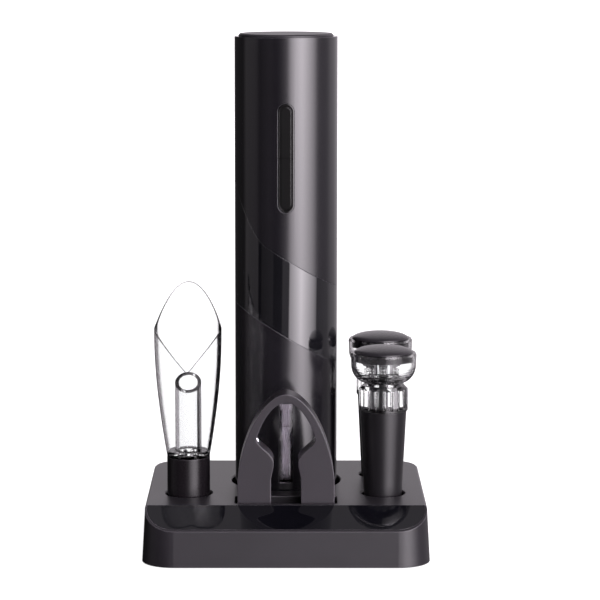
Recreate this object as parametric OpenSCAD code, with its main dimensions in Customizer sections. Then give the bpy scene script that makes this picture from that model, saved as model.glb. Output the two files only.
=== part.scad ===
// Cordless electric wine opener standing in its storage base, with a foil cutter,
// a clear aerator pourer and two vacuum stoppers. Millimetres, +Z up, +X to the right,
// -Y to the front, origin at the middle of the base's underside.

/* [Base] */
// Width of the platform, across X
base_w = 133.2; // [129:0.2:150]
// Depth of the base, across Y
base_d = 118; // [115:0.5:130]
// Height of the platform above the surface it stands on
base_h = 26.8; // [26:0.2:30]
// Radius of the upright corners
base_corner = 14; // [6:1:18]
// Front-to-back run of the sloping gloss panel
panel_run = 16; // [13:0.1:17]
// How far the gloss panel drops over that run
panel_drop = 8.7; // [6:0.1:10]
// Depth of the wells that hold the tools
well_depth = 17; // [14:1:17]

/* [Opener] */
// Outer diameter of the opener
opener_d = 50; // [50:1:52]
// Height of the opener above the platform, without its cap
opener_rise = 218.4; // [214:0.2:240]
// Distance of the opener's axis behind the middle of the base
opener_y = 14.2; // [13:0.2:17]
// Bore that takes the neck of a bottle
neck_d = 32.4; // [31:0.2:33]
// Wall thickness of the housings
housing_wall = 2; // [1.6:0.1:2]
// Height of the switch recess's middle above the platform
switch_rise = 161.3; // [150:0.1:165]
// Length of the switch recess
switch_len = 52.4; // [46:0.2:54]
// Width of the switch recess
switch_w = 8; // [7:0.5:9]

/* [Mechanism] */
// Pitch of the corkscrew
worm_pitch = 8; // [7:0.5:9]
// Turns of the corkscrew
worm_turns = 6; // [5:1:6]
// Travel of the corkscrew into the cork
worm_travel = 50; // [40:1:50]

/* [Foil cutter] */
// Half width of the foil cutter at its feet
cutter_half = 23; // [22:0.5:23]
// Height of the foil cutter above the platform
cutter_rise = 52.3; // [51:0.1:56]
// Thickness of the foil cutter, front to back
cutter_depth = 14; // [12:0.5:14]
// Radius of the four cutting wheels
wheel_r = 3.2; // [3:0.1:3.2]

/* [Aerator] */
// Distance of the aerator from the middle, to the left
aerator_x = 47; // [46:0.2:48]
// Diameter of the aerator's stem
stem_d = 20.7; // [20:0.1:21]
// Height of the stem above the platform
stem_rise = 18.1; // [16:0.1:20]
// Largest diameter of the clear spout
spout_d = 32.4; // [30:0.2:33]
// Height of the spout's back lip above the platform
lip_rise = 100.9; // [98:0.1:102]

/* [Stoppers] */
// Distance of both stoppers from the middle, to the right
stopper_x = 46.8; // [46:0.1:47.5]
// Diameter of the silicone sleeve at its top
sleeve_d = 22.3; // [21:0.1:23]
// Height of the sleeve's top above the platform
sleeve_rise = 41; // [38:0.5:42]
// Diameter of the clear pump bowl
bowl_d = 31.6; // [30:0.2:32]

/* [Hidden] */
$fn = 64;

// Working gaps
gap = 0.05;
slack = 0.3;

// Base
foot_t = 1.6;
foot_out = 0.8;
wall = 2.2;
draft = 1.5;
top_edge = 0.8;
pad_t = 1;
floor_t = 2;
plate_t = 2;
panel_t = 1.2;
panel_inset = 1;
crease_y = -base_d / 2 + panel_run;
slope = atan(panel_drop / panel_run);
well_z = base_h - well_depth;
cup_z = well_z - pad_t;
tool_y = -16;
rear_y = 26.4;
opener_well_r = opener_d / 2 + 1.8;
stem_well_r = stem_d / 2 + 0.9;
stopper_well_r = 10.3;
slot_front = crease_y + 3.2;
slot_w = 2 * cutter_half + 2.6;
slot_d = cutter_depth + 1.9;
slot_z = base_h - 11;
screw_x = base_w / 2 - 10;
screw_y = base_d / 2 - 14;

// Opener, heights above the base's underside
r_out = opener_d / 2;
r_in = r_out - housing_wall;
foot_z = well_z + gap;
top_z = base_h + opener_rise;
cap_rise = 1.4;
socket_r = neck_d / 2;
stop_z = foot_z + 56;
groove_z = base_h + 30.2;
window_w = 6.5;
window_z0 = base_h + 3.4;
window_z1 = base_h + 45;
hub_z = stop_z + worm_travel + 1;
hub_h = 7;
sleeve_top = hub_z + hub_h + 4;
gear_z = sleeve_top + 10;
gear_h = 8;
motor_z = gear_z + 14;
motor_r = 14;
motor_h = 38;
cell_r = 7.1;
cell_h = 48;
cell_x = 7.6;
cell_z = motor_z + motor_h + 3;
switch_z = base_h + switch_rise;
board_y = -18;
band_low = base_h + 75;
band_high = base_h + 112.5;
band_slope = 0.6;

// Planetary reduction
gear_module = 0.8;
sun_teeth = 12;
planet_teeth = 15;
ring_teeth = 42;
planet_orbit = gear_module * (sun_teeth + planet_teeth) / 2;
pin_r = 1.5;
shaft_r = 5;
drive_r = 13.2;
drive_wall = 1.4;
worm_r = 3.3;
wire_r = 1.3;
wire_rings_a_turn = 16;
wire_rings = wire_rings_a_turn * worm_turns;

// Foil cutter
cutter_front = slot_front + 0.9;
cutter_mid = cutter_front + cutter_depth / 2;
cutter_foot = slot_z + pad_t + gap;
lobe_z = 30.7;
lobe_half = 14;
lobe_top = cutter_rise - 4;
waist_z = 19.1;
waist_half = 5.9;
gap_half = 7.2;
wheel_t = 0.8;
axle_r = 1;
wheel_orbit = lobe_half + 2.3;
wheel_angles = [-10, -47, -133, -170];

// Aerator
stem_r = stem_d / 2;
spout_r = spout_d / 2;
spout_wall = 1.3;
neck_r = stem_r - 0.15;
side_rise = 80.5;
front_rise = 61;
flare_run = 60;

// Stoppers
sleeve_r = sleeve_d / 2;
barrel_r = 11.75;
barrel_top = 51.3;
pump_r = 5;
bowl_r = bowl_d / 2;
bowl_foot_r = 8.2;
bowl_z = 54.3;
rim_rise = 68.8;
disc_r = 14;
disc_rise = 65;
dome = 3.2;

stopper_wells = [[stopper_x, tool_y], [stopper_x, rear_y]];

// ---------- shared shapes ----------

module tube(outer, inner, z0, z1) {
  translate([0, 0, z0])
    difference() {
      cylinder(r = outer, h = z1 - z0);
      translate([0, 0, -1])
        cylinder(r = inner, h = z1 - z0 + 2);
    }
}

module rod(r, z0, z1) {
  translate([0, 0, z0])
    cylinder(r = r, h = z1 - z0);
}

// Rounded rectangle with leaning sides and a bevelled top edge
module drafted_slab(w, d, h, r, lean, bevel) {
  module side(half) {
    polygon([
      [-half - lean, 0], [half + lean, 0], [half, h - bevel], [half - bevel, h],
      [bevel - half, h], [-half, h - bevel]
    ]);
  }
  translate([0, d / 2 - r, 0])
    rotate([90, 0, 0])
      linear_extrude(d - 2 * r)
        side(w / 2);
  translate([r - w / 2, 0, 0])
    rotate([90, 0, 90])
      linear_extrude(w - 2 * r)
        side(d / 2);
  for (x = [r - w / 2, w / 2 - r], y = [r - d / 2, d / 2 - r])
    translate([x, y, 0])
      rotate_extrude()
        polygon([[0, 0], [r + lean, 0], [r, h - bevel], [r - bevel, h], [0, h]]);
}

module plain_slab(w, d, h, r) {
  linear_extrude(h) {
    square([w - 2 * r, d], center = true);
    square([w, d - 2 * r], center = true);
    for (x = [r - w / 2, w / 2 - r], y = [r - d / 2, d / 2 - r])
      translate([x, y])
        circle(r = r);
  }
}

// Everything between two depths under the sloping front
module slope_layer(shallow, deep) {
  translate([0, crease_y, base_h])
    rotate([slope, 0, 0])
      translate([-base_w, -3 * panel_run, -deep])
        cube([2 * base_w, 3 * panel_run, deep - shallow]);
}

module at_base_corners() {
  for (x = [-screw_x, screw_x], y = [-screw_y, screw_y])
    translate([x, y, 0])
      children();
}

// ---------- base ----------

module well_cups() {
  translate([0, opener_y, 0])
    rod(opener_well_r + wall, cup_z - 1.8, base_h - 1);
  translate([-aerator_x, tool_y, 0])
    rod(stem_well_r + wall, cup_z - 1.8, base_h - 1);
  for (p = stopper_wells)
    translate([p[0], p[1], 0])
      rod(stopper_well_r + wall, cup_z - 1.8, base_h - 1);
  translate([-slot_w / 2 - wall, slot_front - wall + 0.4, slot_z - 1.8])
    cube([slot_w + 2 * wall, slot_d + 2 * wall - 0.4, base_h - slot_z + 0.8]);
}

// A round well with a bevelled mouth
module well(r) {
  rod(r, cup_z, base_h + 1);
  translate([0, 0, base_h - 0.6])
    cylinder(r1 = r, r2 = r + 1.2, h = 1.2);
}

module wells() {
  translate([0, opener_y, 0])
    well(opener_well_r);
  translate([-aerator_x, tool_y, 0])
    well(stem_well_r);
  for (p = stopper_wells)
    translate([p[0], p[1], 0])
      well(stopper_well_r);
  translate([-slot_w / 2, slot_front, slot_z])
    cube([slot_w, slot_d, base_h]);
}

module base_shell() {
  color("#3b3940")
    difference() {
      union() {
        difference() {
          translate([0, 0, foot_out])
            drafted_slab(base_w, base_d, base_h - foot_out, base_corner, draft, top_edge);
          difference() {
            plain_slab(base_w - 2 * wall, base_d - 2 * wall, base_h - wall, base_corner - wall);
            slope_layer(-base_h, panel_t + wall);
          }
        }
        intersection() {
          well_cups();
          plain_slab(base_w - 1, base_d - 1, base_h - 0.5, base_corner);
        }
        at_base_corners()
          rod(3.4, foot_out + floor_t, base_h - 1);
      }
      wells();
      slope_layer(-base_h, 0);
      intersection() {
        slope_layer(-1, panel_t);
        plain_slab(base_w - 2 * panel_inset, base_d - 2 * panel_inset, base_h + 5, base_corner - 1);
      }
      at_base_corners()
        rod(1.2, 0, base_h - 13);
    }
}

module front_panel() {
  inset = 2 * panel_inset + 0.2;
  color("#1b1a1d")
    intersection() {
      slope_layer(0, panel_t);
      plain_slab(base_w - inset, base_d - inset, base_h + 5, base_corner - 1.1);
    }
}

module well_pads() {
  color("#202022") {
    translate([0, opener_y, 0])
      tube(opener_well_r - 0.4, 8, cup_z, well_z);
    translate([-aerator_x, tool_y, 0])
      rod(stem_well_r - 0.4, cup_z, well_z);
    for (p = stopper_wells)
      translate([p[0], p[1], 0])
        rod(stopper_well_r - 0.4, cup_z, well_z);
    translate([-slot_w / 2 + 0.4, slot_front + 0.4, slot_z])
      cube([slot_w - 0.8, slot_d - 0.8, pad_t]);
  }
}

module ballast_plate() {
  color("#8c8f93")
    difference() {
      translate([0, 0, foot_out + floor_t])
        plain_slab(base_w - 12, base_d - 18, plate_t, 8);
      at_base_corners()
        rod(3.8, 0, base_h);
    }
}

module base_floor() {
  color("#2a2a2c")
    difference() {
      translate([0, 0, foot_out])
        plain_slab(base_w - 2 * wall - 0.2, base_d - 2 * wall - 0.2, floor_t, base_corner - wall - 0.1);
      at_base_corners()
        rod(1.5, 0, base_h);
      at_feet()
        rod(5.1, 0, foot_t);
    }
}

module at_feet() {
  for (x = [-1, 1], y = [-1, 1])
    translate([x * (screw_x - 11), y * (screw_y - 4), 0])
      children();
}

module foot_pads() {
  color("#191919")
    at_feet()
      rod(5, 0, foot_t);
}

module base_screws() {
  color("silver")
    at_base_corners() {
      rod(1.15, foot_out + 0.2, base_h - 14);
      rod(2.2, foot_out - 0.6, foot_out);
      rod(1.15, foot_out - 0.3, foot_out + 0.3);
    }
}

// ---------- opener ----------

module on_opener() {
  translate([0, opener_y, 0])
    children();
}

// Front view of everything under the band's lower edge
module below_band(lift) {
  reach = r_out + 2;
  translate([0, reach, 0])
    rotate([90, 0, 0])
      linear_extrude(2 * reach)
        polygon([
          [-reach, 0], [reach, 0], [reach, band_low - band_slope * reach + lift],
          [-reach, band_low + band_slope * reach + lift]
        ]);
}

// Front view of everything under the band's upper edge, which sweeps up at the left
module below_upper(lift) {
  reach = r_out + 2;
  bend = -9;
  translate([0, reach, 0])
    rotate([90, 0, 0])
      linear_extrude(2 * reach)
        polygon(concat(
          [[-reach, 0], [reach, 0], [reach, band_high - band_slope * reach + lift]],
          [for (i = [0 : 12])
            let (x = bend - i * (reach + bend) / 12)
              [x, band_high - band_slope * x + lift + 0.085 * pow(bend - x, 2)]]
        ));
}

module housing_tube(z0, z1) {
  tube(r_out, r_in, z0, z1);
}

// Stadium-shaped block through the front wall, pointing along Y
module pill(length, width, y0, y1) {
  translate([0, y1, switch_z])
    rotate([90, 0, 0])
      linear_extrude(y1 - y0) {
        square([width, length - width], center = true);
        for (s = [-1, 1])
          translate([0, s * (length - width) / 2])
            circle(r = width / 2);
      }
}

module upper_housing() {
  color("#46434a")
    on_opener()
      difference() {
        housing_tube(band_low, top_z);
        below_upper(0);
        pill(switch_len, switch_w, -r_out - 1, -10);
        translate([-4.6, 15, cell_z + 3])
          cube([9.2, 12, 3.8]);
      }
}

module gloss_band() {
  color("#1e1d20")
    on_opener()
      difference() {
        intersection() {
          housing_tube(base_h, top_z);
          below_upper(-0.1);
        }
        below_band(0.1);
      }
}

module lower_housing() {
  color("#46434a")
    on_opener()
      difference() {
        intersection() {
          housing_tube(foot_z, top_z);
          below_band(0);
        }
        translate([-window_w / 2, -r_out - 1, window_z0])
          cube([window_w, 10, window_z1 - window_z0]);
        for (a = [45 : 90 : 315])
          rotate([0, 0, a])
            translate([r_in - 2.4, 0, foot_z - 1])
              cylinder(r = 0.6, h = 0.5);
      }
}

module top_cap() {
  color("#2c2b2f")
    on_opener()
      rotate_extrude()
        polygon([
          [0, top_z - 2], [r_in - 0.1, top_z - 2], [r_in - 0.1, top_z + cap_rise - 0.7],
          [r_in - 0.8, top_z + cap_rise], [0, top_z + cap_rise]
        ]);
}

module inner_chassis() {
  color("#55585c")
    on_opener()
      difference() {
        union() {
          tube(r_in - 0.1, r_in - 1.5, stop_z + 3, top_z - 2.2);
          tube(r_in - 0.8, 17.6, stop_z + 3, stop_z + 6);
          tube(r_in - 0.8, 17.6, sleeve_top - 4, sleeve_top - 1);
          tube(r_in - 0.8, 20.1, gear_z, gear_z + 3);
          tube(r_in - 0.8, motor_r + 0.1, motor_z + 10, motor_z + 12);
        }
        translate([-9, -r_out, switch_z - 32])
          cube([18, 16, 64]);
        translate([-6, 12, cell_z])
          cube([12, 14, 10]);
      }
}

module switch_bezel() {
  color("#141415")
    on_opener()
      difference() {
        intersection() {
          pill(switch_len - 0.1, switch_w - 0.1, -r_out, board_y - 0.2);
          rod(r_out - 0.15, 0, top_z);
        }
        pill(switch_len - 1.4, switch_w - 1.4, -r_out - 1, board_y - 2.2);
        for (s = [-1, 1])
          translate([0, board_y + 1, switch_z + s * 15])
            rotate([90, 0, 0])
              cylinder(r = 2.1, h = 6);
        translate([-switch_w / 2 + 0.3, -22, switch_z])
          rotate([0, 90, 0])
            cylinder(r = 0.75, h = switch_w - 0.6);
      }
}

module rocker_button() {
  color("#0d0d0e")
    on_opener() {
      difference() {
        union() {
          pill(switch_len - 3, switch_w - 2.6, -r_out + 0.6, -21.6);
          pill(switch_len - 4, switch_w - 3.6, -r_out + 0.1, -21.6);
        }
        translate([-4, -r_out - 1, switch_z - 0.2])
          cube([8, 1.5, 0.4]);
      }
      translate([-switch_w / 2 + 0.35, -22, switch_z])
        rotate([0, 90, 0])
          cylinder(r = 0.7, h = switch_w - 0.7);
    }
}

module control_board() {
  color("#1f5a35")
    on_opener() {
      translate([-7, board_y, switch_z - 28])
        cube([14, 1.6, 56]);
      for (s = [-1, 1])
        translate([0, board_y, switch_z + s * 15])
          rotate([90, 0, 0])
            cylinder(r = 1.6, h = 1.2);
    }
}

module charge_port() {
  color("silver")
    on_opener()
      difference() {
        translate([-4.4, 17, cell_z + 3.1])
          cube([8.8, r_out - 17.5, 3.6]);
        translate([-3.8, 18, cell_z + 3.7])
          cube([7.6, 8, 2.4]);
      }
}

module battery_cells() {
  color("#3f6fa8")
    on_opener()
      for (s = [-1, 1])
        translate([s * cell_x, 0, 0]) {
          rod(cell_r, cell_z, cell_z + cell_h);
          rod(2.6, cell_z + cell_h - 0.5, cell_z + cell_h + 1);
        }
}

module battery_holder() {
  color("#26272a")
    on_opener()
      difference() {
        rod(16.5, cell_z - 2.5, cell_z + cell_h - 6);
        for (s = [-1, 1])
          translate([s * cell_x, 0, 0])
            rod(cell_r + gap, cell_z, top_z);
        translate([-1, -cell_r, cell_z])
          cube([2, 2 * cell_r, cell_h]);
        translate([-20, -32, cell_z - 5])
          cube([40, 20, 70]);
        translate([-20, 12, cell_z - 5])
          cube([40, 20, 70]);
      }
}

module motor() {
  color("#b4b7bb")
    on_opener()
      difference() {
        union() {
          rod(motor_r, motor_z, motor_z + motor_h - 3);
          rod(5, motor_z - 1.4, motor_z + 1);
          rod(motor_r - 1.5, motor_z + motor_h - 4, motor_z + motor_h);
        }
        rod(pin_r + gap, motor_z - 3, motor_z + 14);
        for (s = [-1, 1])
          translate([s * 9, 0, 0])
            rod(1.25, motor_z - 1, motor_z + 5);
      }
}

module motor_plate() {
  color("#6d7075")
    on_opener()
      difference() {
        rod(20, motor_z - 3, motor_z);
        rod(5.1, motor_z - 4, motor_z + 1);
        for (s = [-1, 1])
          translate([s * 9, 0, 0])
            rod(1.4, motor_z - 4, motor_z + 1);
      }
}

module motor_screws() {
  color("silver")
    on_opener()
      for (s = [-1, 1])
        translate([s * 9, 0, 0]) {
          rod(1.2, motor_z - 3.2, motor_z + 4);
          rod(2.3, motor_z - 4.2, motor_z - 3);
        }
}

// Spur-gear outline with narrow flat-topped teeth, a tooth pointing along +X
module gear_2d(teeth) {
  pitch_r = gear_module * teeth / 2;
  root_r = pitch_r - gear_module;
  tip_r = pitch_r + 0.65 * gear_module;
  half = 90 / teeth;
  circle(r = root_r);
  for (i = [0 : teeth - 1])
    rotate(i * 360 / teeth)
      polygon([
        [root_r - 0.4, -root_r * sin(half * 1.05)], [tip_r, -tip_r * sin(half * 0.35)],
        [tip_r, tip_r * sin(half * 0.35)], [root_r - 0.4, root_r * sin(half * 1.05)]
      ]);
}

// Internal teeth of the ring, a gap facing +X
module ring_2d() {
  pitch_r = gear_module * ring_teeth / 2;
  root_r = pitch_r + gear_module;
  tip_r = pitch_r - 0.65 * gear_module;
  half = 90 / ring_teeth;
  difference() {
    circle(r = 20);
    circle(r = root_r);
  }
  for (i = [0 : ring_teeth - 1])
    rotate((i + 0.5) * 360 / ring_teeth)
      polygon([
        [root_r + 0.4, -root_r * sin(half)], [tip_r, -tip_r * sin(half * 0.35)],
        [tip_r, tip_r * sin(half * 0.35)], [root_r + 0.4, root_r * sin(half)]
      ]);
}

module ring_gear() {
  color("#85888c")
    on_opener() {
      translate([0, 0, gear_z - 0.2])
        linear_extrude(gear_h + 0.4)
          ring_2d();
      tube(20, 18, gear_z + gear_h, motor_z - 3);
      tube(20, 18, sleeve_top + 6, gear_z);
      tube(20, 9, sleeve_top + 2, sleeve_top + 6);
    }
}

module sun_gear() {
  color("#d9c07a")
    on_opener() {
      translate([0, 0, gear_z])
        linear_extrude(gear_h)
          gear_2d(sun_teeth);
      rod(pin_r, gear_z, motor_z + 12);
    }
}

module planet_gear(index) {
  color("#e9e4d4")
    on_opener()
      rotate([0, 0, (index - 1) * 120])
        translate([planet_orbit, 0, gear_z])
          linear_extrude(gear_h)
            difference() {
              gear_2d(planet_teeth);
              circle(r = pin_r + gap);
            }
}

module planet_carrier() {
  color("#9b9ea3")
    on_opener() {
      rod(shaft_r, sleeve_top, gear_z - 1);
      rod(14.4, gear_z - 3, gear_z - 0.6);
      for (a = [0 : 120 : 240])
        rotate([0, 0, a])
          translate([planet_orbit, 0, 0])
            rod(pin_r, gear_z - 1, gear_z + gear_h + 0.8);
    }
}

module output_bearing() {
  color("#c9ccd0")
    on_opener()
      tube(9, shaft_r + gap, sleeve_top + 2, sleeve_top + 6);
}

// Rotating tube with two long slots for the hub's lugs
module drive_tube() {
  outer = drive_r + drive_wall;
  color("#a7aaae")
    on_opener()
      difference() {
        rod(outer, stop_z + 0.6, sleeve_top);
        rod(drive_r, stop_z - 1, sleeve_top - 3);
        translate([-outer - 1, -2.2, stop_z + 1.6])
          cube([2 * outer + 2, 4.4, worm_travel + 6]);
      }
}

module guide_sleeve() {
  color("#3a3b3e")
    on_opener()
      tube(17.5, drive_r + drive_wall + 0.8, stop_z + 0.3, sleeve_top + 2);
}

module worm_hub() {
  color("#8d9095")
    on_opener() {
      rod(drive_r - slack, hub_z, hub_z + hub_h);
      difference() {
        rod(worm_r + wire_r + 1, hub_z - 3, hub_z);
        rod(worm_r + wire_r, hub_z - 4, hub_z - 0.4);
      }
      translate([-drive_r - drive_wall, -1.9, hub_z + 1.5])
        cube([2 * (drive_r + drive_wall), 3.8, hub_h - 3]);
    }
}

// Point number j of the wire's ring number i, counted down from the hub
function wire_point(i, j) =
  let (a = -i * 360 / wire_rings_a_turn,
    climb = worm_pitch / (360 * worm_r * PI / 180),
    left = wire_rings - i,
    r = wire_r * min(1, 0.12 + left / 10),
    up = r * sin(45 * j) / sqrt(1 + climb * climb),
    out = worm_r * min(1, 0.5 + left / 20) + r * cos(45 * j))
  [out * cos(a) + climb * up * sin(a), out * sin(a) - climb * up * cos(a),
    up - i * worm_pitch / wire_rings_a_turn];

module corkscrew() {
  color("#dfe1e4")
    on_opener()
      translate([0, 0, hub_z - 0.6])
        polyhedron(
          points = [for (i = [0 : wire_rings], j = [0 : 7]) wire_point(i, j)],
          faces = concat(
            [[for (j = [0 : 7]) j]],
            [for (i = [0 : wire_rings - 1], j = [0 : 7])
              let (next = (j + 1) % 8)
                each [
                  [8 * i + j, 8 * i + 8 + j, 8 * i + 8 + next],
                  [8 * i + j, 8 * i + 8 + next, 8 * i + next]
                ]],
            [[for (j = [7 : -1 : 0]) 8 * wire_rings + j]]
          ));
}

module bottle_socket() {
  color("#c4c2c8")
    on_opener()
      difference() {
        union() {
          rod(r_in - 0.1, foot_z, foot_z + 3);
          rod(socket_r + 1.6, foot_z, stop_z);
          rod(r_in - 1.6, stop_z, stop_z + 3);
        }
        rod(socket_r, foot_z - 1, stop_z);
        tube(socket_r + 2, socket_r + 1.1, groove_z, groove_z + 0.8);
        rod(drive_r + drive_wall + 0.8, stop_z - 1, stop_z + 4);
        translate([0, 0, stop_z + 0.3])
          cylinder(r = 17.55, h = 4);
        for (a = [45 : 90 : 315])
          rotate([0, 0, a])
            translate([r_in - 2.6, 0, foot_z - 1])
              cylinder(r = 1.1, h = 5);
      }
}

module socket_screws() {
  color("silver")
    on_opener()
      for (a = [45 : 90 : 315])
        rotate([0, 0, a])
          translate([r_in - 2.6, 0, 0])
            rod(1.05, foot_z + 0.4, foot_z + 9);
}

module window_lens() {
  color("#b9b4be", 0.5)
    on_opener()
      intersection() {
        tube(r_out - 0.5, r_in + 0.2, window_z0 + 0.1, window_z1 - 0.1);
        translate([-window_w / 2 + 0.1, -r_out - 1, base_h])
          cube([window_w - 0.2, 10, base_h * 3]);
      }
}

// ---------- foil cutter ----------

// Half width of the outer arch at a height above the platform
function arch_half(z) =
  z <= 10 ? cutter_half
  : cutter_half * pow(1 - pow((z - 10) / (cutter_rise - 10), 1.6), 1 / 1.85);

// Smooth step from 0 to 1
function ease(t) = (1 - cos(180 * t)) / 2;

// Half width of the keyhole opening at a height above the platform
function keyhole_half(z) =
  z >= lobe_z ? lobe_half * sqrt(max(0, 1 - pow((z - lobe_z) / (lobe_top - lobe_z), 1.2)))
  : z >= waist_z ? waist_half + (lobe_half - waist_half) * ease(pow((z - waist_z) / (lobe_z - waist_z), 1.15))
  : z >= 9.6 ? waist_half + (gap_half - waist_half) * ease((waist_z - z) / 9)
  : gap_half;

module arch_2d() {
  steps = 36;
  rise = [for (i = [0 : steps]) 10 + (cutter_rise - 10) * sin(90 * i / steps)];
  foot = cutter_foot - base_h;
  polygon(concat(
    [[-cutter_half, foot], [cutter_half, foot]],
    [for (z = rise) [arch_half(z), z]],
    [for (i = [steps - 1 : -1 : 0]) [-arch_half(rise[i]), rise[i]]]
  ));
}

module keyhole_2d() {
  lower = [for (z = [9.6 : 0.75 : lobe_z - 0.5]) z];
  upper = [for (i = [0 : 24]) lobe_z + (lobe_top - lobe_z) * sin(90 * i / 24)];
  rise = concat(lower, upper);
  last = len(rise) - 1;
  polygon(concat(
    [[-gap_half, -20], [gap_half, -20]],
    [for (z = rise) [keyhole_half(z), z]],
    [for (i = [last - 1 : -1 : 0]) [-keyhole_half(rise[i]), rise[i]]]
  ));
}

module at_wheel(index) {
  a = wheel_angles[index - 1];
  translate([wheel_orbit * cos(a), cutter_mid, base_h + lobe_z + wheel_orbit * sin(a)])
    rotate([90, 0, 0])
      children();
}

module cutter_frame() {
  color("#4b474e")
    difference() {
      translate([0, cutter_front + cutter_depth, base_h])
        rotate([90, 0, 0])
          linear_extrude(cutter_depth)
            difference() {
              arch_2d();
              keyhole_2d();
            }
      for (i = [1 : 4])
        at_wheel(i) {
          cylinder(r = wheel_r + 0.5, h = wheel_t + 0.6, center = true);
          cylinder(r = axle_r, h = cutter_depth - 4, center = true);
        }
    }
}

module cutter_axles() {
  color("silver")
    for (i = [1 : 4])
      at_wheel(i)
        cylinder(r = axle_r, h = cutter_depth - 4, center = true);
}

module cutter_wheel(index) {
  color("#d4d6d9")
    at_wheel(index)
      difference() {
        for (s = [0, 1])
          mirror([0, 0, s])
            cylinder(r1 = wheel_r, r2 = wheel_r - 0.8, h = wheel_t / 2);
        cylinder(r = axle_r + gap, h = 4, center = true);
      }
}

// ---------- aerator ----------

module on_aerator() {
  translate([-aerator_x, tool_y, 0])
    children();
}

module aerator_stem() {
  color("#3a373c")
    on_aerator()
      difference() {
        union() {
          rod(stem_r - 1.6, foot_z, base_h + stem_rise - 2);
          rod(stem_r, foot_z + 8, base_h + stem_rise);
        }
        rod(4.5, foot_z - 1, base_h + stem_rise + 1);
        rod(neck_r - 1.6, base_h + stem_rise - 5, base_h + stem_rise + 1);
        for (z = [foot_z + 2, foot_z + 5])
          tube(stem_r, stem_r - 2.8, z, z + 1.6);
      }
}

module aerator_seals() {
  color("#1c1c1e")
    on_aerator()
      for (z = [foot_z + 2, foot_z + 5])
        tube(stem_r - 0.7, stem_r - 2.8, z, z + 1.6);
}

// Outer radius of the spout at a height above the platform
function spout_at(z) =
  neck_r + (spout_r - neck_r) * pow(sin(90 * min(1, max(0, (z - stem_rise) / flare_run))), 0.95);

module spout_profile(inset) {
  steps = 18;
  top = lip_rise + 1;
  rise = [for (i = [0 : steps]) stem_rise + flare_run * i / steps];
  polygon(concat(
    [[0, rise[0] + 2.4 * inset], [spout_at(rise[0] + 2.4 * inset) - inset, rise[0] + 2.4 * inset]],
    [for (i = [2 : steps]) [spout_at(rise[i]) - inset, rise[i]]],
    [[spout_r - inset, top + inset], [0, top + inset]]
  ));
}

// Everything above the lip: a low pointed front and a high rounded back that meet at the sides
module above_lip() {
  steps = 14;
  reach = spout_r + 5;
  top = lip_rise + 20;
  rotate([90, 0, 0])
    linear_extrude(reach)
      polygon([
        [0, front_rise], [spout_r, side_rise], [reach, side_rise], [reach, top], [-reach, top],
        [-reach, side_rise], [-spout_r, side_rise]
      ]);
  translate([0, reach, 0])
    rotate([90, 0, 0])
      linear_extrude(reach)
        polygon(concat(
          [[reach, side_rise], [reach, top], [-reach, top], [-reach, side_rise]],
          [for (i = [-steps : steps])
            [spout_r * i / steps, lip_rise - (lip_rise - side_rise) * pow(i / steps, 2)]]
        ));
}

module aerator_spout() {
  color("#eef2f4", 0.35)
    on_aerator()
      translate([0, 0, base_h])
        difference() {
          union() {
            rotate_extrude()
              spout_profile(0);
            translate([0, 0, stem_rise - 4.8])
              cylinder(r = neck_r - 1.7, h = 6);
          }
          rotate_extrude()
            spout_profile(spout_wall);
          translate([0, 0, stem_rise - 6])
            cylinder(r = 4.5, h = 12);
          for (a = [22.5 : 45 : 337.5])
            rotate([0, 0, a])
              translate([3, 0, stem_rise + 1.5])
                rotate([0, 90, 0])
                  cylinder(r = 1, h = stem_r);
          above_lip();
        }
}

module aerator_tube() {
  color("#eef2f4", 0.35)
    on_aerator()
      difference() {
        tube(6.3, 4.6, base_h + stem_rise + 2.4 * spout_wall, base_h + 64);
        translate([0, 0, base_h + 54.2])
          rotate([32, 0, 0])
            translate([-20, -20, 0])
              cube([40, 40, 30]);
      }
}

// ---------- stoppers ----------

module on_stopper(index) {
  p = stopper_wells[index - 1];
  translate([p[0], p[1], 0])
    children();
}

module stopper_sleeve(index) {
  foot_r = sleeve_r - 2.8;
  color("#3a373d")
    on_stopper(index)
      rotate_extrude()
        polygon([
          [6.6, foot_z], [foot_r - 1, foot_z], [foot_r, foot_z + 1], [sleeve_r, base_h + sleeve_rise],
          [6.6, base_h + sleeve_rise]
        ]);
}

module stopper_barrel(index) {
  top = base_h + barrel_top;
  flutes = 20;
  color("#e8ecef", 0.45)
    on_stopper(index)
      difference() {
        union() {
          rod(6.5, foot_z + 3, base_h + sleeve_rise + 1);
          rod(barrel_r, base_h + sleeve_rise, top);
          translate([0, 0, top])
            cylinder(r1 = barrel_r, r2 = barrel_r - 1.6, h = 1.6);
          rod(bowl_foot_r, top + 1, base_h + bowl_z - gap);
        }
        for (i = [1 : flutes])
          rotate([0, 0, i * 360 / flutes])
            translate([barrel_r + 0.3, 0, base_h + sleeve_rise + 1])
              cylinder(r = 0.8, h = 20, $fn = 16);
        rod(pump_r, foot_z + 5, top + 5);
        rod(1.6, foot_z, foot_z + 6);
      }
}

module stopper_valve(index) {
  color("#c8463c")
    on_stopper(index) {
      rod(1.55, foot_z + 3, foot_z + 5);
      rod(3.6, foot_z + 5, foot_z + 5.8);
    }
}

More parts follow.
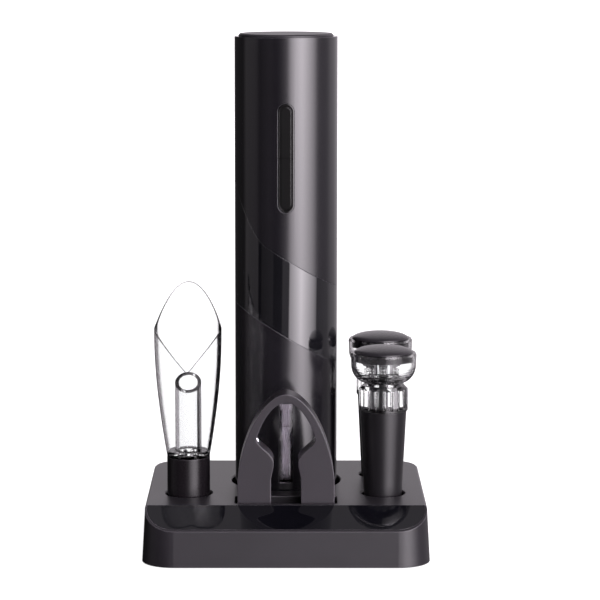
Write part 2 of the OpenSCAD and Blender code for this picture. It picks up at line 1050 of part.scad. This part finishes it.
module stopper_bowl(index) {
  foot = base_h + bowl_z;
  rim = base_h + rim_rise;
  disc = base_h + disc_rise;
  curve = 8.6;
  skin = 1.7;
  bowl_depth = curve - skin;
  color("#e8ecef", 0.45)
    on_stopper(index) {
      tube(4.6, 3.2, foot + skin - 0.2, disc);
      rotate_extrude()
        polygon(concat(
          [[0, foot]],
          [for (i = [0 : 10])
            [bowl_foot_r + (bowl_r - 0.2 - bowl_foot_r) * sin(9 * i), foot + curve * (1 - cos(9 * i))]],
          [[bowl_r, rim - 1], [bowl_r - 0.5, rim], [disc_r + 0.15, rim], [disc_r + 0.15, disc],
            [bowl_r - 0.2 - skin, disc]],
          [for (i = [10 : -1 : 0])
            [bowl_foot_r - skin + (bowl_r - 0.2 - bowl_foot_r) * sin(9 * i),
              foot + skin + bowl_depth * (1 - cos(9 * i))]],
          [[0, foot + skin]]
        ));
    }
}

module stopper_cap(index) {
  bottom = base_h + disc_rise + gap;
  edge = base_h + rim_rise;
  color("#4a474e")
    on_stopper(index)
      rotate_extrude()
        polygon(concat(
          [[0, bottom], [disc_r, bottom]],
          [for (i = [0 : 12]) [disc_r * cos(7.5 * i), edge + dome * sin(7.5 * i)]]
        ));
}

module stopper_piston(index) {
  color("#2b2b2e")
    on_stopper(index) {
      rod(2.2, foot_z + 8, base_h + bowl_z);
      rod(pump_r - gap, foot_z + 7, foot_z + 10);
    }
}

// ---------- drawing ----------

base_shell();
front_panel();
well_pads();
ballast_plate();
base_floor();
foot_pads();
base_screws();
upper_housing();
gloss_band();
lower_housing();
top_cap();
inner_chassis();
switch_bezel();
control_board();
charge_port();
battery_cells();
battery_holder();
motor();
motor_plate();
motor_screws();
ring_gear();
output_bearing();
guide_sleeve();
bottle_socket();
socket_screws();
window_lens();
rocker_button();
sun_gear();
planet_carrier();
drive_tube();
planet_gear(1);  // planet_gear_1
planet_gear(2);  // planet_gear_2
planet_gear(3);  // planet_gear_3
worm_hub();
corkscrew();
cutter_frame();
cutter_axles();
cutter_wheel(1);  // cutter_wheel_1
cutter_wheel(2);  // cutter_wheel_2
cutter_wheel(3);  // cutter_wheel_3
cutter_wheel(4);  // cutter_wheel_4
aerator_stem();
aerator_seals();
aerator_tube();
aerator_spout();
stopper_sleeve(1);  // stopper_1_sleeve
stopper_barrel(1);  // stopper_1_barrel
stopper_valve(1);  // stopper_1_valve
stopper_bowl(1);  // stopper_1_bowl
stopper_cap(1);  // stopper_1_cap
stopper_piston(1);  // stopper_1_piston
stopper_sleeve(2);  // stopper_2_sleeve
stopper_barrel(2);  // stopper_2_barrel
stopper_valve(2);  // stopper_2_valve
stopper_bowl(2);  // stopper_2_bowl
stopper_cap(2);  // stopper_2_cap
stopper_piston(2);  // stopper_2_piston
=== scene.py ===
"""Studio scene of the wine opener set: materials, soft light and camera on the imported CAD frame."""
import math

import bpy
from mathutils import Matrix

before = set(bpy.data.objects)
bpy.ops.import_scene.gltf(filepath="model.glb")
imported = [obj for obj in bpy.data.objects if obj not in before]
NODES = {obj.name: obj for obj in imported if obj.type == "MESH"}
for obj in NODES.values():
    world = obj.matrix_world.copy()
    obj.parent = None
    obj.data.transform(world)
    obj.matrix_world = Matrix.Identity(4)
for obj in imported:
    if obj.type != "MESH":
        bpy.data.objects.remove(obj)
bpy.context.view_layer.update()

# Refractive index of clear acrylic
ACRYLIC_IOR = 1.49
# Painted highlight: light tone painted along the edges of moulded and painted pieces, in place of the
# light their rounded edges catch
EDGE_HIGHLIGHT_TONE = (0.16, 0.15, 0.17)
# Share of the painted edge highlight right on an edge
EDGE_HIGHLIGHT_SHARE = 0.5
# Cells per metre of the brushing on metal, and the radius that softens its edges
BRUSH_GRAIN = 1800.0
METAL_EDGE = 0.0002
# Radius that softens the edges of high-gloss plastic
GLOSS_EDGE = 0.0002


# ---------- node-graph helpers ----------

class Graph:
    """A material's or the world's node tree, with short calls for the nodes that are used most."""

    def __init__(self, name, collection=None, output="ShaderNodeOutputMaterial", space="Object"):
        self.owner = (bpy.data.materials if collection is None else collection).new(name)
        self.owner.use_nodes = True
        self.tree = self.owner.node_tree
        self.tree.nodes.clear()
        self.output = self.add(output)
        self.coords = self.add("ShaderNodeTexCoord").outputs[space]

    def add(self, kind, **settings):
        node = self.tree.nodes.new(kind)
        for key, value in settings.items():
            setattr(node, key, value)
        return node

    def link(self, source, target):
        self.tree.links.new(source, target)

    def noise(self, scale, detail=2.0, stretch=(1, 1, 1)):
        """Noise whose cells are about 1/scale metres, stretched along an axis if asked."""
        mapping = self.add("ShaderNodeMapping")
        mapping.inputs["Scale"].default_value = stretch
        self.link(self.coords, mapping.inputs["Vector"])
        node = self.add("ShaderNodeTexNoise")
        node.inputs["Scale"].default_value = scale
        node.inputs["Detail"].default_value = detail
        self.link(mapping.outputs["Vector"], node.inputs["Vector"])
        return node.outputs["Fac"]

    def ramp(self, value, low, high, start=0.3, end=0.7):
        """Colours from low to high as value goes from start to end."""
        node = self.add("ShaderNodeValToRGB")
        node.color_ramp.elements[0].position = start
        node.color_ramp.elements[0].color = (*low, 1)
        node.color_ramp.elements[1].position = end
        node.color_ramp.elements[1].color = (*high, 1)
        self.link(value, node.inputs["Fac"])
        return node.outputs["Color"]

    def span(self, value, low, high, start=0.3, end=0.7):
        """A number from low to high as value goes from start to end."""
        node = self.add("ShaderNodeMapRange")
        node.inputs["From Min"].default_value = start
        node.inputs["From Max"].default_value = end
        node.inputs["To Min"].default_value = low
        node.inputs["To Max"].default_value = high
        self.link(value, node.inputs["Value"])
        return node.outputs["Result"]

    def math(self, operation, first, second=None):
        node = self.add("ShaderNodeMath", operation=operation)
        for socket, value in zip(node.inputs, (first, second)):
            if isinstance(value, (int, float)):
                socket.default_value = value
            elif value is not None:
                self.link(value, socket)
        return node.outputs["Value"]

    def rounded(self, radius):
        """Normals that soften each sharp edge over the given radius in metres."""
        node = self.add("ShaderNodeBevel", samples=6)
        node.inputs["Radius"].default_value = radius
        return node.outputs["Normal"]

    def corner(self, radius):
        """1 along sharp edges, falling to 0 at the given radius from them."""
        across = self.add("ShaderNodeVectorMath", operation="DOT_PRODUCT")
        self.link(self.rounded(radius), across.inputs[0])
        self.link(self.add("ShaderNodeNewGeometry").outputs["True Normal"], across.inputs[1])
        return self.span(across.outputs["Value"], 1, 0, 0.80, 0.98)

    def facing(self):
        """0 where the surface is seen square on, 1 where it is seen edge-on."""
        node = self.add("ShaderNodeLayerWeight")
        node.inputs["Blend"].default_value = 0.5
        return node.outputs["Facing"]

    def bump(self, height, distance, strength, normal=None):
        node = self.add("ShaderNodeBump")
        node.inputs["Distance"].default_value = distance
        node.inputs["Strength"].default_value = strength
        self.link(height, node.inputs["Height"])
        if normal is not None:
            self.link(normal, node.inputs["Normal"])
        return node.outputs["Normal"]

    def principled(self, metallic=0.0, ior=1.5, **sockets):
        node = self.add("ShaderNodeBsdfPrincipled")
        node.inputs["Metallic"].default_value = metallic
        node.inputs["IOR"].default_value = ior
        for key, value in sockets.items():
            node.inputs[key.replace("_", " ")].default_value = value
        self.link(node.outputs["BSDF"], self.output.inputs["Surface"])
        return node


def scaled(colour, factor):
    return tuple(min(1.0, c * factor) for c in colour)


def moulded(name, colour, rough, grain=2600.0, relief=0.00002, edge=0.0003, ior=1.5, polish=0.0):
    """Moulded or painted surface: sand grain, slight colour drift, smoother at a grazing angle, with a
    painted highlight that lightens its edges. polish is the share of roughness lost edge-on."""
    g = Graph(name)
    shader = g.principled(ior=ior)
    sand = g.noise(grain, 2)
    drift = g.ramp(g.noise(60, 3), scaled(colour, 0.9), scaled(colour, 1.1))
    corner = g.corner(edge)
    # Painted highlight: a light tone is mixed into the base colour along sharp edges, in place of the
    # light the edges catch
    tone = g.add("ShaderNodeMix", data_type="RGBA")
    g.link(g.math("MULTIPLY", corner, EDGE_HIGHLIGHT_SHARE), tone.inputs["Factor"])
    g.link(drift, tone.inputs["A"])
    tone.inputs["B"].default_value = (*EDGE_HIGHLIGHT_TONE, 1)
    g.link(tone.outputs["Result"], shader.inputs["Base Color"])
    edge_on = g.span(g.facing(), 1, 1 - polish, 0.3, 0.65)
    satin = g.math("MULTIPLY", g.span(sand, rough * 0.94, rough * 1.06), edge_on)
    g.link(g.math("MULTIPLY", satin, g.span(corner, 1, 0.6, 0, 1)), shader.inputs["Roughness"])
    g.link(g.bump(sand, relief, 0.3, g.rounded(edge)), shader.inputs["Normal"])
    return g.owner


def gloss(name, colour, rough, ior=1.52):
    """High-gloss black plastic with a faint orange peel and fingerprint-sized smears."""
    g = Graph(name)
    shader = g.principled(ior=ior)
    smear = g.noise(90, 3)
    peel = g.noise(420, 1)
    g.link(g.ramp(smear, scaled(colour, 0.9), scaled(colour, 1.1)), shader.inputs["Base Color"])
    g.link(g.span(smear, rough * 0.7, rough * 1.5), shader.inputs["Roughness"])
    g.link(g.bump(peel, 0.00001, 0.2, g.rounded(GLOSS_EDGE)), shader.inputs["Normal"])
    return g.owner


def metal(name, colour, rough, stretch=(1, 1, 1)):
    """Machined or brushed metal: grain stretched along the brushing direction."""
    g = Graph(name)
    shader = g.principled(metallic=1.0)
    lines = g.noise(BRUSH_GRAIN, 3, stretch)
    g.link(g.ramp(lines, scaled(colour, 0.85), scaled(colour, 1.1)), shader.inputs["Base Color"])
    g.link(g.span(lines, rough * 0.75, rough * 1.3), shader.inputs["Roughness"])
    g.link(g.bump(lines, 0.00002, 0.3, g.rounded(METAL_EDGE)), shader.inputs["Normal"])
    return g.owner


def clear(name, tint=(0.985, 0.99, 0.99), rough=0.01, edge=0.0004, painted_outline_level=0.10, ripple=0.05):
    """Clear acrylic: polished and slightly wavy, with painted dark outlines where a wall ends or turns
    edge-on.
    """
    g = Graph(name)
    shader = g.principled(ior=ACRYLIC_IOR, Transmission_Weight=1.0)
    wave = g.noise(70, 1)
    # Painted shade: the tint darkens along edges and where the wall turns edge-on, as dark outlines in
    # place of reflections of the dark surroundings
    grazing = g.span(g.facing(), 0, 1, 0.60, 0.86)
    painted_outline = g.math("MAXIMUM", g.corner(edge), grazing)
    g.link(g.ramp(painted_outline, tint, scaled(tint, painted_outline_level), 0.0, 1.0), shader.inputs["Base Color"])
    g.link(g.span(wave, rough * 0.5, rough * 1.5), shader.inputs["Roughness"])
    g.link(g.bump(wave, 0.0001, ripple), shader.inputs["Normal"])
    return g.owner


def dress(material, *names):
    """Gives these CAD nodes one material."""
    for name in names:
        data = NODES[name].data
        data.materials.clear()
        data.materials.append(material)


# ---------- materials ----------

def dress_base():
    dress(moulded("base_satin", (0.009, 0.008, 0.010), 0.38, edge=0.0006, ior=1.42), "base_shell")
    dress(gloss("panel_gloss", (0.002, 0.002, 0.003), 0.02, ior=1.46), "front_panel")
    dress(moulded("pad_foam", (0.010, 0.010, 0.011), 0.9, grain=900, relief=0.0001), "well_pads")
    dress(metal("ballast_steel", (0.35, 0.35, 0.37), 0.4), "ballast_plate")
    dress(moulded("floor_plastic", (0.016, 0.016, 0.017), 0.6), "base_floor", "battery_holder")
    dress(moulded("foot_rubber", (0.012, 0.012, 0.012), 0.85, grain=1200), "foot_pads", "aerator_seals")
    dress(metal("fastener_steel", (0.55, 0.55, 0.57), 0.3),
          "base_screws", "motor_screws", "socket_screws", "cutter_axles")


def dress_opener():
    dress(moulded("body_paint", (0.005, 0.0045, 0.006), 0.235, grain=3400, relief=0.000005,
                  ior=1.58, polish=0.75), "upper_housing", "lower_housing")
    dress(moulded("cap_paint", (0.010, 0.009, 0.011), 0.4, grain=3000, ior=1.4), "top_cap")
    dress(gloss("band_gloss", (0.004, 0.004, 0.005), 0.03, ior=1.7), "gloss_band")
    dress(gloss("button_gloss", (0.002, 0.002, 0.002), 0.03, ior=1.42), "rocker_button")
    dress(gloss("bezel_gloss", (0.002, 0.002, 0.002), 0.12), "switch_bezel")
    dress(moulded("chassis_plastic", (0.08, 0.08, 0.085), 0.55), "inner_chassis", "guide_sleeve")
    dress(moulded("board_green", (0.010, 0.07, 0.03), 0.35), "control_board")
    dress(metal("port_steel", (0.6, 0.6, 0.62), 0.25), "charge_port", "output_bearing")
    dress(gloss("cell_wrap", (0.03, 0.10, 0.25), 0.25), "battery_cells")
    dress(metal("motor_steel", (0.45, 0.45, 0.47), 0.35),
          "motor", "motor_plate", "drive_tube", "planet_carrier")
    dress(metal("gear_steel", (0.25, 0.25, 0.27), 0.45), "ring_gear")
    dress(metal("gear_brass", (0.65, 0.45, 0.16), 0.3), "sun_gear")
    dress(moulded("gear_acetal", (0.65, 0.62, 0.52), 0.4),
          "planet_gear_1", "planet_gear_2", "planet_gear_3")
    dress(metal("worm_steel", (0.72, 0.72, 0.74), 0.12), "worm_hub", "corkscrew")
    dress(metal("sleeve_metal", (0.62, 0.58, 0.63), 0.22, (1, 1, 0.05)), "bottle_socket")
    dress(clear("window_clear", (0.90, 0.89, 0.92), 0.02, painted_outline_level=0.3, ripple=0.0), "window_lens")


def dress_tools():
    dress(moulded("cutter_plastic", (0.013, 0.011, 0.014), 0.34, edge=0.0006, ior=1.48), "cutter_frame")
    dress(metal("blade_steel", (0.7, 0.7, 0.72), 0.15),
          "cutter_wheel_1", "cutter_wheel_2", "cutter_wheel_3", "cutter_wheel_4")
    dress(moulded("stem_satin", (0.005, 0.004, 0.005), 0.28, grain=3000, relief=0.000005,
                  ior=1.40, polish=0.4), "aerator_stem")
    dress(clear("spout_acrylic", edge=0.0012, painted_outline_level=0.01), "aerator_spout", "aerator_tube")
    dress(clear("pump_acrylic"),
          "stopper_1_barrel", "stopper_2_barrel", "stopper_1_bowl", "stopper_2_bowl")
    dress(moulded("sleeve_silicone", (0.006, 0.0055, 0.0065), 0.32, grain=3200, relief=0.000005),
          "stopper_1_sleeve", "stopper_2_sleeve")
    dress(moulded("valve_silicone", (0.02, 0.02, 0.021), 0.6), "stopper_1_valve", "stopper_2_valve")
    dress(moulded("cap_satin", (0.009, 0.008, 0.010), 0.28, ior=1.37),
          "stopper_1_cap", "stopper_2_cap")
    dress(moulded("piston_plastic", (0.02, 0.02, 0.021), 0.5), "stopper_1_piston", "stopper_2_piston")


# ---------- studio ----------

# Radiance of the backdrop, the brightest card and the ceiling
PAPER_GLOW = 0.95
KEY_GLOW = 14.0
CEILING_GLOW = 0.5

# Faint violet cast of the studio's light
LIGHT_TINT = (1.0, 0.935, 1.0)

# Camera: lens in millimetres, pitch below the horizontal in degrees, place in metres
LENS = 150
PITCH = 8.4
PLACE = (0, -1.198, 0.2954)
SHIFT = 0.0233

# Softboxes and black flags round the set: degrees to the right of the camera, and radiance
CARDS = [
    (-180, 0.9), (-166, 0.9), (-160, 0.05), (-108, 0.08), (-100, 0.42), (-66, 0.40), (-64, 0.0),
    (-58, 0.0), (-56, 0.12), (-30, 0.20), (-28, 0.03), (-10, 0.04), (-7, 0.48), (6, 0.48),
    (8, 5.5), (24, 10.5), (34, 14.0), (48, 9.5), (64, 5.0), (71, 2.4), (73, 0.42), (104, 0.50),
    (116, 0.85), (158, 0.85), (166, 0.9), (180, 0.9),
]


def backdrop():
    """A pale dish all round: floor, bend and wall turned in one sheet, seen but casting nothing."""
    bend, radius, wall_top = 0.5, 2.2, 3.2
    turns, arcs = 96, 16
    profile = [(0.001, 0.0), (radius - bend, 0.0)]
    for i in range(1, arcs + 1):
        a = math.radians(90 * i / arcs)
        profile.append((radius - bend + bend * math.sin(a), bend - bend * math.cos(a)))
    profile.append((radius, wall_top))
    spokes = [2 * math.pi * k / turns for k in range(turns)]
    verts = [(r * math.sin(a), r * math.cos(a), z) for r, z in profile for a in spokes]
    faces = []
    for i in range(len(profile) - 1):
        low, high = i * turns, (i + 1) * turns
        faces += [
            (low + k, low + (k + 1) % turns, high + (k + 1) % turns, high + k) for k in range(turns)
        ]
    mesh = bpy.data.meshes.new("studio_dish")
    mesh.from_pydata(verts, [], faces)
    for polygon in mesh.polygons:
        polygon.use_smooth = True
    dish = bpy.data.objects.new("studio_dish", mesh)
    bpy.context.scene.collection.objects.link(dish)
    dish.visible_glossy = False
    dish.visible_diffuse = False
    dish.visible_shadow = False
    g = Graph("dish_paper")
    shader = g.principled(Roughness=0.9, Emission_Color=(1, 1, 1, 1))
    seen = g.math("LESS_THAN", g.add("ShaderNodeLightPath").outputs["Glossy Depth"], 0.5)
    g.link(g.math("MULTIPLY", seen, PAPER_GLOW), shader.inputs["Emission Strength"])
    shader.inputs["Specular IOR Level"].default_value = 0.1
    g.link(g.ramp(g.noise(3, 2), (0.30, 0.30, 0.30), (0.33, 0.33, 0.33)), shader.inputs["Base Color"])
    mesh.materials.append(g.owner)


def studio_world():
    """The cards as a sky that depends on direction, fading below the floor, with a dim ceiling."""
    g = Graph("studio", bpy.data.worlds, "ShaderNodeOutputWorld", "Generated")
    split = g.add("ShaderNodeSeparateXYZ")
    g.link(g.coords, split.inputs["Vector"])
    back = g.math("MULTIPLY", split.outputs["Y"], -1)
    azimuth = g.math("ARCTAN2", split.outputs["X"], back)
    ramp = g.add("ShaderNodeValToRGB")
    stops = ramp.color_ramp.elements
    for k, (angle, glow) in enumerate(CARDS):
        place = (angle + 180) / 360
        stop = stops[k] if k < 2 else stops.new(place)
        stop.position = place
        level = glow / KEY_GLOW
        stop.color = (level, level, level, 1)
    g.link(g.span(azimuth, 0, 1, -math.pi, math.pi), ramp.inputs["Fac"])
    fade = g.add("ShaderNodeMapRange", interpolation_type="SMOOTHSTEP")
    for name, value in (("From Min", -0.42), ("From Max", 0.06), ("To Min", 0.0), ("To Max", KEY_GLOW)):
        fade.inputs[name].default_value = value
    g.link(split.outputs["Z"], fade.inputs["Value"])
    overhead = g.add("ShaderNodeMix", data_type="RGBA")
    g.link(g.span(split.outputs["Z"], 0, 1, 0.70, 0.90), overhead.inputs["Factor"])
    g.link(ramp.outputs["Color"], overhead.inputs["A"])
    overhead.inputs["B"].default_value = (*scaled((1, 1, 1), CEILING_GLOW / KEY_GLOW), 1)
    tint = g.add("ShaderNodeMix", data_type="RGBA", blend_type="MULTIPLY")
    tint.inputs["Factor"].default_value = 1
    g.link(overhead.outputs["Result"], tint.inputs["A"])
    tint.inputs["B"].default_value = (*LIGHT_TINT, 1)
    sky = g.add("ShaderNodeBackground")
    g.link(tint.outputs["Result"], sky.inputs["Color"])
    g.link(fade.outputs["Result"], sky.inputs["Strength"])
    g.link(sky.outputs["Background"], g.output.inputs["Surface"])
    scene = bpy.context.scene
    scene.world = g.owner
    scene.view_settings.view_transform = "Standard"


def camera():
    """Long lens in front of the set, a little above it, looking slightly down."""
    data = bpy.data.cameras.new("camera")
    data.sensor_width = 36
    data.lens = LENS
    data.shift_x = SHIFT
    data.clip_end = 20
    cam = bpy.data.objects.new("camera", data)
    cam.location = PLACE
    cam.rotation_euler = (math.radians(90 - PITCH), 0, 0)
    bpy.context.scene.collection.objects.link(cam)
    bpy.context.scene.camera = cam


dress_base()
dress_opener()
dress_tools()
backdrop()
studio_world()
camera()
